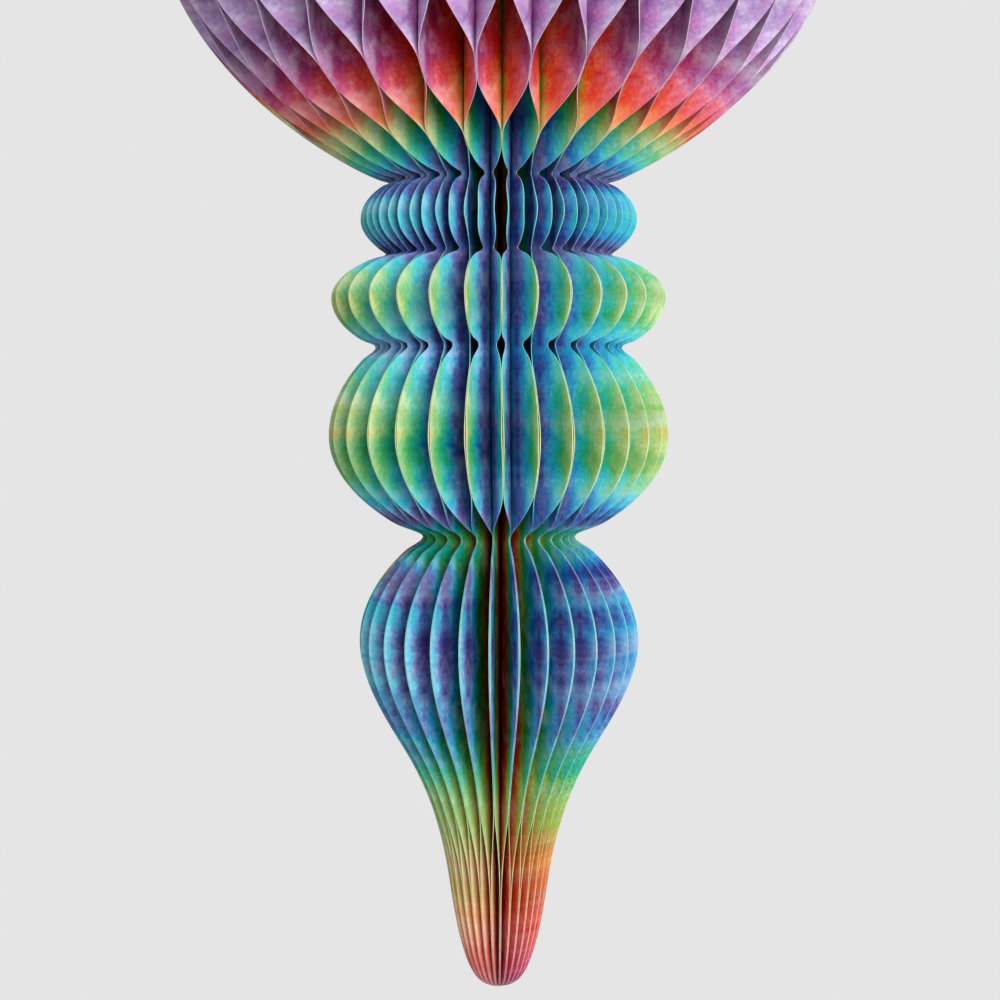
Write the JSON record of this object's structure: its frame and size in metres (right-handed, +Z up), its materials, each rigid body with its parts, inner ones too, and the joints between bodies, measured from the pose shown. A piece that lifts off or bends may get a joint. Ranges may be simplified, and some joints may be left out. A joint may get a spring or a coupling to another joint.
{
  "type": "honeycomb paper hanging ornament",
  "caption": "Hanging ornament of die-cut card leaves fanned round a spine and glued in strips, so that they open into a honeycomb of stacked lobes tapering to a pointed tip",
  "frame": {"origin": "the hanging point, on the axis at the very top of the ornament", "axes": "+Z up along the spine, so the ornament lies below the origin; -Y faces the viewer of the picture and +X is to the viewer's right"},
  "size_m": [0.218, 0.218, 0.4147],
  "materials": {
    "printed_card": "matte",
    "binding": "matte"
  },
  "bodies": {
    "root": {"leaf_01": "printed_card", "leaf_02": "printed_card", "leaf_03": "printed_card", "leaf_04": "printed_card", "leaf_05": "printed_card", "leaf_06": "printed_card", "leaf_07": "printed_card", "leaf_08": "printed_card", "leaf_09": "printed_card", "leaf_10": "printed_card", "leaf_11": "printed_card", "leaf_12": "printed_card", "leaf_13": "printed_card", "leaf_14": "printed_card", "leaf_15": "printed_card", "leaf_16": "printed_card", "leaf_17": "printed_card", "leaf_18": "printed_card", "leaf_19": "printed_card", "leaf_20": "printed_card", "leaf_21": "printed_card", "leaf_22": "printed_card", "leaf_23": "printed_card", "leaf_24": "printed_card", "leaf_25": "printed_card", "leaf_26": "printed_card", "leaf_27": "printed_card", "leaf_28": "printed_card", "leaf_29": "printed_card", "leaf_30": "printed_card", "leaf_31": "printed_card", "leaf_32": "printed_card", "leaf_33": "printed_card", "leaf_34": "printed_card", "leaf_35": "printed_card", "leaf_36": "printed_card", "leaf_37": "printed_card", "leaf_38": "printed_card", "leaf_39": "printed_card", "leaf_40": "printed_card", "leaf_41": "printed_card", "leaf_42": "printed_card", "leaf_43": "printed_card", "leaf_44": "printed_card", "leaf_45": "printed_card", "leaf_46": "printed_card", "leaf_47": "printed_card", "leaf_48": "printed_card", "leaf_49": "printed_card", "leaf_50": "printed_card", "leaf_51": "printed_card", "leaf_52": "printed_card", "leaf_53": "printed_card", "leaf_54": "printed_card", "leaf_55": "printed_card", "leaf_56": "printed_card", "leaf_57": "printed_card", "leaf_58": "printed_card", "spine_binding": "binding"}
  },
  "joints": []
}
